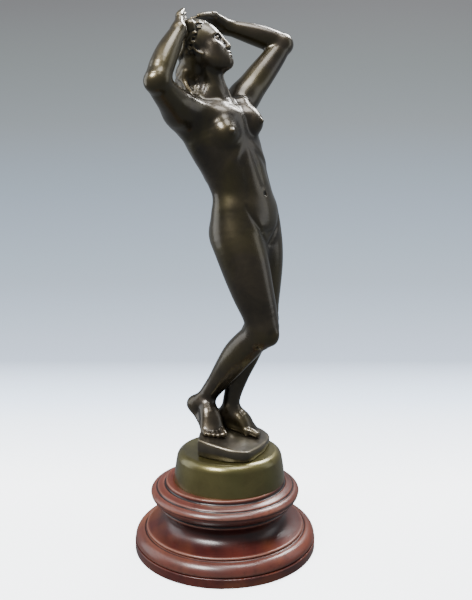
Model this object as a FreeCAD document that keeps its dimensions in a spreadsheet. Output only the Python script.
import FreeCAD, Part
import math
import os

import Sketcher
from FreeCAD import Placement, Rotation, Vector

# A standing bronze figure on a bronze terrace and drum, held to a turned wood socle.
# Millimetres, +Z up.  The origin is the centre of the underside, where the baize rests.
# The wood is turned about the Z axis; the bronze drum sits a little to +X of it.

DIMENSIONS = {
    # turned wood socle, from the bottom up
    "baize_radius": 60.0,
    "baize_thickness": 1.0,
    "foot_radius": 63.0,
    "foot_top": 7.5,
    "torus_radius": 62.6,
    "torus_top": 15.6,
    "torus_inner_radius": 55.0,
    "fillet_radius": 53.5,
    "fillet_top": 17.2,
    "scotia_radius": 40.5,
    "scotia_height": 26.0,
    "lip_radius": 46.0,
    "lip_height": 32.5,
    "ovolo_radius": 51.5,
    "ovolo_height": 42.0,
    "ovolo_top": 45.4,
    "seat_radius": 41.0,
    "seat_top": 49.2,
    # fixing through the socle
    "bore_radius": 6.5,
    "recess_radius": 16.5,
    "recess_top": 11.0,
    "rod_radius": 3.0,
    "rod_bottom": 3.4,
    "rod_top": 63.0,
    "washer_radius": 12.0,
    "washer_thickness": 1.6,
    "nut_circumradius": 5.77,
    "nut_height": 5.0,
    "screw_circle": 30.0,
    "screw_radius": 2.0,
    "screw_head_radius": 4.0,
    "screw_head_height": 2.4,
    "screw_length": 26.0,
    # bronze drum and terrace
    "drum_shift": 3.1,
    "drum_radius": 38.5,
    "drum_shoulder_radius": 36.3,
    "drum_shoulder_height": 65.4,
    "drum_top_radius": 31.5,
    "drum_top": 70.0,
    "drum_inner_radius": 34.0,
    "drum_ceiling": 65.5,
    "drum_ceiling_radius": 31.3,
    "axis": 0.0,
    "boss_radius": 8.0,
    "terrace_height": 79.8,
    "terrace_slope": 0.148,
    # screws that hold the figure and the terrace to the drum
    "figure_screw_radius": 2.0,
    "figure_screw_head_radius": 3.5,
    "figure_screw_head_height": 3.0,
    "figure_washer_radius": 4.5,
    "figure_washer_thickness": 0.8,
    "fit_clearance": 0.05,
    "rod_hole_radius": 3.05,
    # figure: half widths of the body at its main levels
    "hip_half_width": 27.0,
    "hip_half_depth": 19.5,
    "waist_half_width": 22.0,
    "waist_half_depth": 17.0,
    "bust_half_width": 27.0,
    "bust_half_depth": 19.0,
    "shoulder_half_width": 24.0,
    "shoulder_half_depth": 14.0,
    # figure: radii of the limbs
    "thigh_radius": 18.0,
    "knee_radius": 10.8,
    "calf_radius": 11.2,
    "ankle_radius": 6.0,
    "upper_arm_radius": 9.5,
    "elbow_radius": 7.5,
    "forearm_radius": 7.6,
    "wrist_radius": 4.8,
    "neck_radius": 9.0,
    "head_half_length": 17.0,
    "head_half_width": 13.5,
    "head_half_height": 18.0,
    # studs and pins between the castings
    "stud_radius": 2.0,
    "stud_length": 16.0,
    "pin_radius": 0.8,
    "pin_length": 7.0,
}

doc = FreeCAD.newDocument("BronzeStatuette")
sheet = doc.addObject("Spreadsheet::Sheet", "Dimensions")
for row, (alias, number) in enumerate(DIMENSIONS.items(), start=1):
    sheet.set(f"A{row}", alias)
    sheet.set(f"B{row}", str(number))
    sheet.setAlias(f"B{row}", alias)
doc.recompute()

SUB_PARTS = []


def size(alias):
    """The number in the sheet's cell of this name."""
    return float(sheet.get(alias))


def bind(obj, **expressions):
    """Ties properties of an object to the sheet: names with __ stand for dots."""
    for name, expression in expressions.items():
        obj.setExpression(name.replace("__", "."), expression)
    return obj


def keep(obj, label):
    """Marks an object as a sub-part and gives it the name of its file."""
    obj.Label = label
    SUB_PARTS.append(obj)
    return obj


def cell(alias, extra=0.0):
    """A coordinate of an outline: one of the sheet's numbers plus a fixed amount."""
    return alias, extra


def number_of(coordinate):
    alias, extra = coordinate
    return size(alias) + extra


def expression_of(coordinate):
    alias, extra = coordinate
    return f"Dimensions.{alias} + {extra}"


# ---------------------------------------------------------------- turned pieces


def origin_plane(body, role):
    for feature in body.Origin.OriginFeatures:
        if feature.Role == role:
            return feature
    raise ValueError(role)


def new_sketch(body, name, role):
    sketch = body.newObject("Sketcher::SketchObject", name)
    sketch.AttachmentSupport = [(origin_plane(body, role), "")]
    sketch.MapMode = "FlatFace"
    return sketch


def turned_body(name, outline):
    """A body turned about Z.  Each corner is (radius, height, bulge): the edge to the next corner
    is straight where bulge is 0, or an arc that swells that far to the right of its travel."""
    body = doc.addObject("PartDesign::Body", name)
    sketch = new_sketch(body, name + "_outline", "XZ_Plane")
    corners = [Vector(number_of(r), number_of(z), 0) for r, z, bulge in outline]
    count = len(corners)
    for index, (radius, height, bulge) in enumerate(outline):
        start = corners[index]
        end = corners[(index + 1) % count]
        if not bulge:
            sketch.addGeometry(Part.LineSegment(start, end), False)
            continue
        chord = end - start
        side = Vector(chord.y, -chord.x, 0).normalize()
        middle = (start + end) * 0.5 + side * bulge
        # A hollow edge is drawn from its far end, so that every arc runs anticlockwise.
        ends = (start, end) if bulge > 0 else (end, start)
        sketch.addGeometry(Part.Arc(ends[0], middle, ends[1]), False)
    for index, (radius, height, bulge) in enumerate(outline):
        edge = sketch.Geometry[index]
        if bulge:
            sketch.addConstraint(Sketcher.Constraint("Radius", index, edge.Radius))
    first_ends = []
    for index in range(count):
        start = corners[index]
        edge = sketch.Geometry[index]
        starts_here = (edge.StartPoint - start).Length < 1e-6
        first_ends.append((1, 2) if starts_here else (2, 1))
    for index in range(count):
        following = (index + 1) % count
        sketch.addConstraint(
            Sketcher.Constraint(
                "Coincident", index, first_ends[index][1], following, first_ends[following][0]
            )
        )
    for index, (radius, height, bulge) in enumerate(outline):
        point = first_ends[index][0]
        for kind, coordinate in (("DistanceX", radius), ("DistanceY", height)):
            constraint = sketch.addConstraint(
                Sketcher.Constraint(kind, -1, 1, index, point, number_of(coordinate))
            )
            sketch.setExpression(f"Constraints[{constraint}]", expression_of(coordinate))
    turning = body.newObject("PartDesign::Revolution", name + "_turning")
    turning.Profile = sketch
    turning.ReferenceAxis = (sketch, ["V_Axis"])
    turning.Angle = 360.0
    sketch.Visibility = False
    doc.recompute()
    return body


def drill_ring(body, name, radius_expression, top_expression, circle_expression, count):
    """Round holes from the underside up to a height, spaced evenly about the axis."""
    sketch = new_sketch(body, name + "_circle", "XY_Plane")
    sketch.addGeometry(
        Part.Circle(Vector(size("screw_circle"), 0, 0), Vector(0, 0, 1), 2.0), False
    )
    across = sketch.addConstraint(
        Sketcher.Constraint("DistanceX", -1, 1, 0, 3, size("screw_circle"))
    )
    sketch.addConstraint(Sketcher.Constraint("PointOnObject", 0, 3, -1))
    radius = sketch.addConstraint(Sketcher.Constraint("Radius", 0, 2.0))
    sketch.setExpression(f"Constraints[{across}]", circle_expression)
    sketch.setExpression(f"Constraints[{radius}]", radius_expression)
    doc.recompute()
    before = body.Shape.Volume
    pocket = body.newObject("PartDesign::Pocket", name)
    pocket.Profile = sketch
    pocket.Reversed = True
    pocket.setExpression("Length", top_expression)
    sketch.Visibility = False
    doc.recompute()
    if body.Shape.Volume >= before - 1.0:
        raise ValueError(f"{name} cuts nothing")
    pattern = body.newObject("PartDesign::PolarPattern", name + "_pattern")
    pattern.Originals = [pocket]
    pattern.Axis = (sketch, ["N_Axis"])
    pattern.Angle = 360.0
    pattern.Occurrences = count
    body.Tip = pattern
    doc.recompute()
    return body


def cylinder(name, radius, bottom, height, x="0", y="0"):
    """An upright cylinder whose sizes and place are expressions of the sheet."""
    return bind(
        doc.addObject("Part::Cylinder", name),
        Radius=radius, Height=height,
        Placement__Base__x=x, Placement__Base__y=y, Placement__Base__z=bottom,
    )


def cut(name, base, tool):
    result = doc.addObject("Part::Cut", name)
    result.Base = base
    result.Tool = tool
    return result


def fuse(name, shapes):
    result = doc.addObject("Part::MultiFuse", name)
    result.Shapes = shapes
    return result


def group(name, shapes):
    result = doc.addObject("Part::Compound", name)
    result.Links = shapes
    return result


SCREW_COUNT = 4
CLEARANCE_HOLE = "Dimensions.screw_radius + Dimensions.fit_clearance"


def screw_place(index, ratio):
    """One coordinate of a wood screw on its circle, as an expression of the sheet."""
    return f"Dimensions.screw_circle * {ratio(2 * math.pi * index / SCREW_COUNT):.6f}"


def screw_heads(name):
    """The flat-topped cones of the wood screws' heads, point upward in the foot's underside."""
    heads = []
    for index in range(SCREW_COUNT):
        cone = bind(
            doc.addObject("Part::Cone", f"{name}_{index}"),
            Radius1="Dimensions.screw_head_radius", Radius2="Dimensions.screw_radius",
            Height="Dimensions.screw_head_height",
            Placement__Base__x=screw_place(index, math.cos),
            Placement__Base__y=screw_place(index, math.sin),
            Placement__Base__z="Dimensions.baize_thickness",
        )
        heads.append(cone)
    return heads


def make_wood():
    # The disc: square-edged, a hair rounded, with the recess that takes washer and nut.
    foot = turned_body(
        "foot_disc",
        [
            (cell("recess_radius"), cell("baize_thickness"), 0),
            (cell("foot_radius", -0.8), cell("baize_thickness"), 0.23),
            (cell("foot_radius"), cell("baize_thickness", 0.8), 0),
            (cell("foot_radius"), cell("foot_top", -0.6), 0.17),
            (cell("foot_radius", -0.6), cell("foot_top"), 0),
            (cell("recess_radius"), cell("foot_top"), 0),
        ],
    )
    drill_ring(
        foot, "foot_screw_holes", CLEARANCE_HOLE, "Dimensions.foot_top + 1",
        "Dimensions.screw_circle", SCREW_COUNT,
    )
    sunk = cut("foot_countersunk", foot, group("countersinks", screw_heads("countersink")))
    keep(sunk, "socle_foot_disc")

    # The torus ring, recessed above the foot for the top of the washer pocket.
    lower = turned_body(
        "torus_ring",
        [
            (cell("recess_radius"), cell("foot_top"), 0),
            (cell("torus_radius", -0.8), cell("foot_top"), 0),
            (cell("torus_radius", -0.2), cell("foot_top", 0.7), 0.35),
            (cell("torus_radius", -1.4), cell("torus_top", -2.0), 1.05),
            (cell("torus_inner_radius"), cell("torus_top"), 0),
            (cell("bore_radius"), cell("torus_top"), 0),
            (cell("bore_radius"), cell("recess_top"), 0),
            (cell("recess_radius"), cell("recess_top"), 0),
        ],
    )
    drill_ring(
        lower, "ring_screw_holes", CLEARANCE_HOLE, "Dimensions.torus_top + 1",
        "Dimensions.screw_circle", SCREW_COUNT,
    )
    keep(lower, "socle_lower_moulding")

    # The spool: fillet, deep scotia, ovolo and the raised seat under the drum.
    upper = turned_body(
        "spool",
        [
            (cell("bore_radius"), cell("torus_top"), 0),
            (cell("fillet_radius"), cell("torus_top"), 0.2),
            (cell("fillet_radius", -1.0), cell("fillet_top"), 0),
            (cell("scotia_radius", 7.0), cell("fillet_top", 0.8), -1.7),
            (cell("scotia_radius"), cell("scotia_height"), -0.5),
            (cell("scotia_radius", 2.5), cell("lip_height", -1.6), 0),
            (cell("lip_radius"), cell("lip_height"), 0),
            (cell("ovolo_radius", -3.6), cell("lip_height", 1.0), 1.0),
            (cell("ovolo_radius"), cell("ovolo_height"), 0.8),
            (cell("ovolo_radius", -4.6), cell("ovolo_top", -0.6), 0),
            (cell("seat_radius", 1.0), cell("ovolo_top", 1.0), 0),
            (cell("seat_radius"), cell("seat_top", -0.8), 0.2),
            (cell("seat_radius", -0.8), cell("seat_top"), 0),
            (cell("bore_radius"), cell("seat_top"), 0),
        ],
    )
    drill_ring(
        upper, "pilot_holes", CLEARANCE_HOLE, "Dimensions.screw_length + 3",
        "Dimensions.screw_circle", SCREW_COUNT,
    )
    keep(upper, "socle_upper_moulding")


def make_baize():
    disc = bind(
        doc.addObject("Part::Cylinder", "baize"),
        Radius="Dimensions.baize_radius", Height="Dimensions.baize_thickness",
    )
    keep(disc, "baize_disc")


# ---------------------------------------------------------------- fasteners


def make_tie():
    """Rod, washer and nut that pull the drum down onto the wood."""
    shift = "Dimensions.drum_shift"
    rod = cylinder(
        "rod", "Dimensions.rod_radius", "Dimensions.rod_bottom",
        "Dimensions.rod_top - Dimensions.rod_bottom", x=shift,
    )
    keep(rod, "tie_rod")
    hole = "Dimensions.rod_radius + Dimensions.fit_clearance"
    washer_bottom = "Dimensions.recess_top - Dimensions.washer_thickness"
    washer = cut(
        "washer",
        cylinder("washer_blank", "Dimensions.washer_radius", washer_bottom,
                 "Dimensions.washer_thickness", x=shift),
        cylinder("washer_hole", hole, washer_bottom + " - 1",
                 "Dimensions.washer_thickness + 2", x=shift),
    )
    keep(washer, "tie_washer")
    nut_bottom = washer_bottom + " - Dimensions.nut_height"
    blank = bind(
        doc.addObject("Part::Prism", "nut_blank"),
        Circumradius="Dimensions.nut_circumradius", Height="Dimensions.nut_height",
        Placement__Base__x=shift, Placement__Base__z=nut_bottom,
    )
    blank.Polygon = 6
    nut = cut(
        "nut", blank,
        cylinder("nut_hole", hole, nut_bottom + " - 1", "Dimensions.nut_height + 2", x=shift),
    )
    keep(nut, "tie_nut")


def make_wood_screws():
    """Flat-headed screws whose heads lie flush in the foot's underside."""
    screws = []
    for index, head in enumerate(screw_heads("wood_screw_head")):
        shank = cylinder(
            f"wood_screw_shank_{index}", "Dimensions.screw_radius", "Dimensions.baize_thickness",
            "Dimensions.screw_length",
            x=screw_place(index, math.cos), y=screw_place(index, math.sin),
        )
        screws.append(fuse(f"wood_screw_{index}", [shank, head]))
    keep(group("screws_in_wood", screws), "wood_screws")


FIGURE_SCREWS = ((2.0, 14.0, 92.0), (-8.0, -4.0, 85.0))  # x, y and top of each screw


def make_figure_screws():
    """Cheese-headed screws driven from inside the drum into the two feet, and their washers."""
    screws = []
    washers = []
    washer_bottom = "Dimensions.drum_ceiling - Dimensions.figure_washer_thickness"
    head_bottom = washer_bottom + " - Dimensions.figure_screw_head_height"
    for index, (x, y, top) in enumerate(FIGURE_SCREWS):
        shank = cylinder(
            f"figure_shank_{index}", "Dimensions.figure_screw_radius", washer_bottom,
            f"{top} - Dimensions.drum_ceiling + Dimensions.figure_washer_thickness",
            x=str(x), y=str(y),
        )
        head = cylinder(
            f"figure_head_{index}", "Dimensions.figure_screw_head_radius", head_bottom,
            "Dimensions.figure_screw_head_height", x=str(x), y=str(y),
        )
        screws.append(fuse(f"figure_screw_{index}", [shank, head]))
        blank = cylinder(
            f"figure_washer_blank_{index}", "Dimensions.figure_washer_radius", washer_bottom,
            "Dimensions.figure_washer_thickness", x=str(x), y=str(y),
        )
        hole = cylinder(
            f"figure_washer_hole_{index}",
            "Dimensions.figure_screw_radius + Dimensions.fit_clearance",
            washer_bottom + " - 1", "Dimensions.figure_washer_thickness + 2",
            x=str(x), y=str(y),
        )
        washers.append(cut(f"figure_washer_{index}", blank, hole))
    keep(group("screws_in_figure", screws), "figure_screws")
    keep(group("washers_in_drum", washers), "figure_screw_washers")


# ---------------------------------------------------------------- drum and terrace


def figure_screw_drill(name, bottom, top):
    """Two upright drills where the figure's screws pass, as one shape."""
    drills = []
    for index, (x, y, _) in enumerate(FIGURE_SCREWS):
        drills.append(
            cylinder(
                f"{name}_{index}", "Dimensions.figure_screw_radius + Dimensions.fit_clearance",
                str(bottom), str(top - bottom), x=str(x), y=str(y),
            )
        )
    return group(name, drills)


def make_drum():
    """Hollow casting, open underneath, with a rounded shoulder and a blind boss for the rod."""
    drum = turned_body(
        "drum_turning",
        [
            (cell("boss_radius"), cell("seat_top"), 0),
            (cell("boss_radius"), cell("drum_ceiling"), 0),
            (cell("drum_ceiling_radius"), cell("drum_ceiling"), 0),
            (cell("drum_inner_radius"), cell("seat_top"), 0),
            (cell("drum_radius"), cell("seat_top"), 0.25),
            (cell("drum_shoulder_radius"), cell("drum_shoulder_height"), 1.0),
            (cell("drum_top_radius"), cell("drum_top"), 0),
            (cell("axis"), cell("drum_top"), 0),
            (cell("axis"), cell("rod_top", 1.0), 0),
            (cell("rod_hole_radius"), cell("rod_top", 1.0), 0),
            (cell("rod_hole_radius"), cell("seat_top"), 0),
        ],
    )
    drum.setExpression("Placement.Base.x", "Dimensions.drum_shift")
    keep(cut("drum", drum, figure_screw_drill("drum_drill", 60.0, 72.0)), "drum_casting")


TERRACE_CORNERS = (
    (-18.0, -17.0), (-10.8, -21.9), (-0.2, -27.0), (7.8, -29.0), (15.6, -27.8),
    (21.8, -19.0), (27.6, -6.5), (31.4, 9.7), (29.0, 20.3), (24.6, 26.4),
    (17.4, 30.0), (2.0, 29.0), (-9.0, 22.5), (-15.6, 12.0), (-17.6, 0.0),
)
TERRACE_SPARE = 8.0  # extra height left on the pad before its sloping top is cut
BLOCK_SIDE = 120.0
BLOCK_HEIGHT = 30.0


def make_terrace():
    """An irregular slab, thick at -X and thin at +X, standing on the drum."""
    body = doc.addObject("PartDesign::Body", "terrace_slab")
    sketch = new_sketch(body, "terrace_outline", "XY_Plane")
    count = len(TERRACE_CORNERS)
    for index in range(count):
        start = Vector(*TERRACE_CORNERS[index], 0)
        end = Vector(*TERRACE_CORNERS[(index + 1) % count], 0)
        sketch.addGeometry(Part.LineSegment(start, end), False)
    for index, (x, y) in enumerate(TERRACE_CORNERS):
        following = (index + 1) % count
        sketch.addConstraint(Sketcher.Constraint("Coincident", index, 2, following, 1))
        sketch.addConstraint(Sketcher.Constraint("DistanceX", -1, 1, index, 1, x))
        sketch.addConstraint(Sketcher.Constraint("DistanceY", -1, 1, index, 1, y))
    pad = body.newObject("PartDesign::Pad", "terrace_pad")
    pad.Profile = sketch
    pad.setExpression(
        "Length", f"Dimensions.terrace_height - Dimensions.drum_top + {TERRACE_SPARE}"
    )
    sketch.Visibility = False
    body.setExpression("Placement.Base.z", "Dimensions.drum_top")
    doc.recompute()
    # Everything above the sloping top is taken off with a tilted block.
    block = bind(
        doc.addObject("Part::Box", "terrace_block"),
        Placement__Base__x=f"-{BLOCK_SIDE / 2} * cos(atan(Dimensions.terrace_slope))",
        Placement__Base__y=f"-{BLOCK_SIDE / 2}",
        Placement__Base__z="Dimensions.terrace_height"
        f" + {BLOCK_SIDE / 2} * sin(atan(Dimensions.terrace_slope))",
        Placement__Rotation__Angle="atan(Dimensions.terrace_slope)",
    )
    tilt = math.degrees(math.atan(size("terrace_slope")))
    block.Placement.Rotation = Rotation(Vector(0, 1, 0), tilt)
    block.Length = BLOCK_SIDE
    block.Width = BLOCK_SIDE
    block.Height = BLOCK_HEIGHT
    sloped = cut("terrace_sloped", body, block)
    keep(cut("terrace", sloped, figure_screw_drill("terrace_drill", 66.0, 92.0)),
         "terrace_casting")


# ---------------------------------------------------------------- figure

UP = Vector(0, 0, 1)
FACING = Vector(0.80, -0.60, 0.0)
LEFT = Vector(0.60, 0.80, 0.0)
RING_POINTS = 14
EGG_RINGS = 9


def oval(center, across, deep, half_across, half_deep):
    """Evenly spaced points of an oval about a centre."""
    points = []
    for index in range(RING_POINTS):
        turn = 2 * math.pi * index / RING_POINTS
        points.append(
            center + across * (half_across * math.cos(turn)) + deep * (half_deep * math.sin(turn))
        )
    return points


def skin(rings):
    """A closed solid of small flat facets drawn over a row of rings, with flat ends."""
    faces = [Part.Face(Part.makePolygon(ring + ring[:1])) for ring in (rings[0], rings[-1])]
    for lower, upper in zip(rings, rings[1:]):
        for index in range(len(lower)):
            following = (index + 1) % len(lower)
            a, b = lower[index], lower[following]
            c, d = upper[following], upper[index]
            faces.append(Part.Face(Part.makePolygon([a, b, c, a])))
            faces.append(Part.Face(Part.makePolygon([a, c, d, a])))
    solid = Part.Solid(Part.Shell(faces))
    if solid.Volume < 0:
        solid.reverse()
    return solid


def between(before, start, end, after, part):
    """A smooth curve's value from start to end, shaped by its two outer neighbours."""
    square = part * part
    cube = square * part
    return (
        start * 2.0
        + (end - before) * part
        + (before * 2.0 - start * 5.0 + end * 4.0 - after) * square
        + (start * 3.0 - before - end * 3.0 + after) * cube
    ) * 0.5


def limb(stations, across_hint):
    """A solid over ovals set along a smooth line.  Each station is (centre, half across, half
    deep), and one more oval is set half-way between each two."""
    rows = [(Vector(*center), wide, deep) for center, wide, deep in stations]
    fine = []
    for index in range(len(rows) - 1):
        around = [rows[max(index - 1, 0)], rows[index], rows[index + 1]]
        around.append(rows[min(index + 2, len(rows) - 1)])
        fine.append(rows[index])
        fine.append(tuple(between(*[row[item] for row in around], 0.5) for item in range(3)))
    fine.append(rows[-1])
    rings = []
    for index, (center, wide, deep) in enumerate(fine):
        ahead = fine[min(index + 1, len(fine) - 1)][0]
        behind = fine[max(index - 1, 0)][0]
        along = (ahead - behind).normalize()
        across = (across_hint - along * across_hint.dot(along)).normalize()
        rings.append(oval(center, across, along.cross(across), wide, deep))
    return skin(rings)


def ellipsoid(center, half_sizes, rotation):
    """A solid egg with its own three half sizes, turned and placed."""
    rings = []
    for index in range(1, EGG_RINGS):
        turn = math.pi * index / EGG_RINGS
        level = -math.cos(turn) * half_sizes[2]
        spread = math.sin(turn)
        ring = oval(
            Vector(0, 0, level), Vector(1, 0, 0), Vector(0, 1, 0),
            half_sizes[0] * spread, half_sizes[1] * spread,
        )
        rings.append([rotation.multVec(point) + Vector(*center) for point in ring])
    return skin(rings)


def facing_rotation(pitch):
    """Turns local X to the way the figure faces, Y to its left, then tips the nose up."""
    basis = Rotation(FACING, LEFT, UP, "XYZ")
    return basis.multiply(Rotation(Vector(0, 1, 0), -pitch))


def torso_shape():
    hip = size("hip_half_width")
    waist = size("waist_half_width")
    bust = size("bust_half_width")
    return limb(
        [
            ((15, 2, 209), 0.72 * hip, 0.70 * size("hip_half_depth")),
            ((12, 3, 222), hip, size("hip_half_depth")),
            ((12.5, 3.5, 236), 0.93 * hip, 0.95 * size("hip_half_depth")),
            ((9.5, 4.5, 252), waist, size("waist_half_depth")),
            ((4, 4, 267), 0.5 * (waist + bust), 0.5 * (waist + bust) * 0.73),
            ((-1, 3, 283), bust, size("bust_half_depth")),
            ((-4.5, 2, 296), size("shoulder_half_width"), size("shoulder_half_depth")),
            ((-7, 1, 305), 0.45 * size("shoulder_half_width"), 0.72 * size("shoulder_half_depth")),
        ],
        LEFT + UP * 0.18,
    )


def leg_shape(hip, knee, calf, ankle):
    """Thigh, knee, calf and ankle as one tapering limb."""
    thigh = size("thigh_radius")
    hip, knee, calf, ankle = Vector(*hip), Vector(*knee), Vector(*calf), Vector(*ankle)
    shin = ankle - knee
    return limb(
        [
            (hip + UP * 6, 0.85 * thigh, 0.85 * thigh),
            (hip + (knee - hip) * 0.22, thigh, thigh),
            (hip + (knee - hip) * 0.60, 0.84 * thigh, 0.84 * thigh),
            (knee - (knee - hip) * 0.12, 1.08 * size("knee_radius"), 1.08 * size("knee_radius")),
            (knee, size("knee_radius"), size("knee_radius")),
            (calf, size("calf_radius"), size("calf_radius")),
            (knee + shin * 0.72, 0.68 * size("calf_radius"), 0.72 * size("calf_radius")),
            (ankle, size("ankle_radius"), size("ankle_radius")),
            (ankle - UP * 8, 0.95 * size("ankle_radius"), 0.95 * size("ankle_radius")),
        ],
        LEFT,
    )


def body_shape():
    right_leg = leg_shape((4, -7, 226), (24.5, -15, 157), (8, -6, 138), (-12, 11, 104))
    left_leg = leg_shape((20.7, 14.3, 227.3), (28.5, 8.2, 163), (14, 18, 138), (2.5, 17, 97))
    right_foot = limb(
        [
            ((-24, 19, 99), 3.5, 4.0),
            ((-20, 14, 97), 5.8, 7.0),
            ((-14, 4, 92), 6.8, 6.6),
            ((-9, -4, 84), 8.2, 4.8),
            ((-7, -9, 81), 8.4, 3.6),
            ((-6, -13, 80), 7.2, 1.8),
        ],
        Vector(0.85, 0.5, 0.0),
    )
    left_foot = limb(
        [
            ((-11, 20, 84.5), 3.5, 4.0),
            ((-6, 18, 85), 5.6, 6.0),
            ((4, 14, 85), 6.4, 7.0),
            ((14, 10, 81), 8.0, 4.8),
            ((23, 7, 78), 8.2, 3.4),
            ((29, 5, 76.3), 6.0, 1.8),
        ],
        Vector(0.3, 0.95, 0.0),
    )
    breasts = [
        ellipsoid((-1, -12, 287), (9.5, 9.5, 9.5), facing_rotation(10)),
        ellipsoid((14, 4, 292), (9.5, 9.5, 9.5), facing_rotation(10)),
    ]
    shape = torso_shape()
    for addition in [right_leg, left_leg, right_foot, left_foot] + breasts:
        shape = shape.fuse(addition)
    # The soles lie flat on the terrace: what would sink into it is taken off.
    below = Part.makeBox(160, 160, 60, Vector(-80, -80, -60))
    slope = math.degrees(math.atan(size("terrace_slope")))
    below.Placement = Placement(
        Vector(0, 0, size("terrace_height")), Rotation(Vector(0, 1, 0), slope)
    )
    return shape.cut(below)


def head_shape():
    """Skull and jaw tipped back on the neck, with the bound-up hair as one mass behind."""
    rotation = facing_rotation(28)
    neck = size("neck_radius")
    column = limb(
        [
            ((-7, 1, 299), 1.15 * neck, 1.15 * neck),
            ((-8, 1, 310), neck, neck),
            ((-8.5, 1, 322), 0.95 * neck, neck),
            ((-8, 1, 332), 0.95 * neck, neck),
        ],
        LEFT,
    )
    skull = ellipsoid(
        (-9, 2, 338),
        (size("head_half_length"), size("head_half_width"), size("head_half_height")),
        rotation,
    )
    jaw = ellipsoid((-1.5, -3, 329), (8.5, 8.0, 9.5), facing_rotation(50))
    hair = ellipsoid((-14, 4, 342), (14.5, 14.5, 13.5), rotation)
    topknot = ellipsoid((-19.5, -1, 347), (5.5, 10.5, 6.0), Rotation())
    return column.fuse([skull, jaw, hair, topknot])


def arm_shape(shoulder, elbow, wrist, knuckles, fingertips, across):
    """Upper arm, bent elbow, forearm, wrist and flat closed hand."""
    points = [Vector(*p) for p in (shoulder, elbow, wrist, knuckles, fingertips)]
    shoulder, elbow, wrist, knuckles, fingertips = points
    upper = size("upper_arm_radius")
    joint = size("elbow_radius")
    fore = size("forearm_radius")
    thin = size("wrist_radius")
    corner = (shoulder + wrist) * 0.5
    inward = (corner - elbow).normalize()
    upper_limb = limb(
        [
            (shoulder - (elbow - shoulder).normalize() * 8, 1.1 * upper, 1.1 * upper),
            (shoulder, 1.15 * upper, 1.15 * upper),
            (shoulder + (elbow - shoulder) * 0.35, upper, upper),
            (shoulder + (elbow - shoulder) * 0.80, 0.92 * joint, 1.08 * joint),
            (elbow + inward * 1.0, 0.85 * joint, 0.95 * joint),
        ],
        Vector(*across),
    )
    fore_limb = limb(
        [
            (elbow + (elbow - wrist).normalize() * 4, 0.60 * joint, 0.60 * joint),
            (elbow + (wrist - elbow) * 0.05, 0.95 * joint, 0.95 * joint),
            (elbow + (wrist - elbow) * 0.30, fore, fore),
            (elbow + (wrist - elbow) * 0.70, 0.75 * fore, 0.72 * fore),
            (wrist, 1.15 * thin, 0.9 * thin),
            (knuckles, 1.45 * thin, 0.70 * thin),
            (fingertips, 1.1 * thin, 0.5 * thin),
        ],
        Vector(*across),
    )
    return upper_limb.fuse(fore_limb)


# Each stud: the middle of the joint and the direction that the stud lies in.
NECK_STUD = (Vector(-7.2, 1, 306), Vector(-0.08, 0, 1))
RIGHT_STUD = (Vector(-22, -22, 298), Vector(-0.55, -0.80, 0.25))
LEFT_STUD = (Vector(15, 27, 312), Vector(0.60, 0.45, 0.68))
HAND_PINS = (
    (Vector(-23.6, -10, 349.5), Vector(0.75, 0.60, -0.25)),
    (Vector(-19.6, 8.6, 351.8), Vector(0.1, -0.6, -0.8)),
)


def rod_between(place, radius, length):
    """A round rod centred on a joint, as (middle, direction) says."""
    middle, direction = place
    direction = Vector(direction).normalize()
    return Part.makeCylinder(radius, length, middle - direction * (length / 2), direction)


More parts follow.
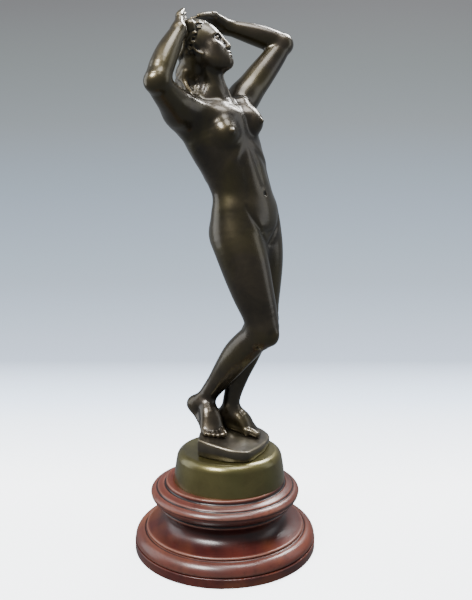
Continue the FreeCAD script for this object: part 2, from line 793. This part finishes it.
def make_figure():
    clearance = size("fit_clearance")
    stud = size("stud_radius")
    length = size("stud_length")
    pin = size("pin_radius")
    pin_length = size("pin_length")
    studs = {
        "neck_stud": NECK_STUD,
        "right_shoulder_stud": RIGHT_STUD,
        "left_shoulder_stud": LEFT_STUD,
    }
    drills = [rod_between(p, stud + clearance, length + 0.2) for p in studs.values()]
    drills += [rod_between(p, pin + clearance, pin_length + 0.2) for p in HAND_PINS]
    for x, y, top in FIGURE_SCREWS:
        drills.append(
            Part.makeCylinder(
                size("figure_screw_radius") + clearance, top - 60 + 0.2, Vector(x, y, 60)
            )
        )
    body = body_shape()
    head = head_shape().cut(body)
    right_arm = arm_shape(
        (-15, -15, 295), (-38.5, -49.5, 310), (-28.6, -27, 342), (-27, -17.5, 350),
        (-24.6, -8, 357.8), (0.85, -0.5, 0.1),
    ).cut(body).cut(head)
    left_arm = arm_shape(
        (8, 21, 303), (40, 45, 346.5), (2, 36, 356), (-11.5, 24, 359.6), (-21.5, 9.5, 353.6),
        (0.6, 0.0, 0.8),
    ).cut(body).cut(head).cut(right_arm)
    castings = {
        "body_casting": body,
        "head_casting": head,
        "right_arm_casting": right_arm,
        "left_arm_casting": left_arm,
    }
    for name, shape in castings.items():
        shape = shape.cut(drills)
        solids = sorted(shape.Solids, key=lambda solid: solid.Volume)
        feature = doc.addObject("Part::Feature", name)
        feature.Shape = solids[-1]
        keep(feature, name)
    for name, place in studs.items():
        feature = doc.addObject("Part::Feature", name)
        feature.Shape = rod_between(place, stud, length)
        keep(feature, name)
    pins = doc.addObject("Part::Feature", "hand_pins")
    pins.Shape = Part.makeCompound([rod_between(p, pin, pin_length) for p in HAND_PINS])
    keep(pins, "hand_pins")


def write_parts():
    doc.recompute()
    for obj in doc.Objects:
        if "Invalid" in obj.State or "Error" in obj.State:
            raise RuntimeError(f"{obj.Label} failed: {obj.State}")
    os.makedirs("parts", exist_ok=True)
    for part in SUB_PARTS:
        if part.Shape.isNull() or not part.Shape.isValid():
            raise RuntimeError(f"{part.Label} has no valid shape")
        box = part.Shape.BoundBox
        print(
            f"{part.Label:24s} solids {len(part.Shape.Solids)} volume {part.Shape.Volume:10.1f}"
            f"  x {box.XMin:7.2f} {box.XMax:7.2f}  y {box.YMin:7.2f} {box.YMax:7.2f}"
            f"  z {box.ZMin:7.2f} {box.ZMax:7.2f}"
        )
        part.Shape.exportStep(os.path.join("parts", part.Label + ".step"))


make_baize()
make_wood()
make_wood_screws()
make_tie()
make_drum()
make_terrace()
make_figure_screws()
make_figure()
write_parts()
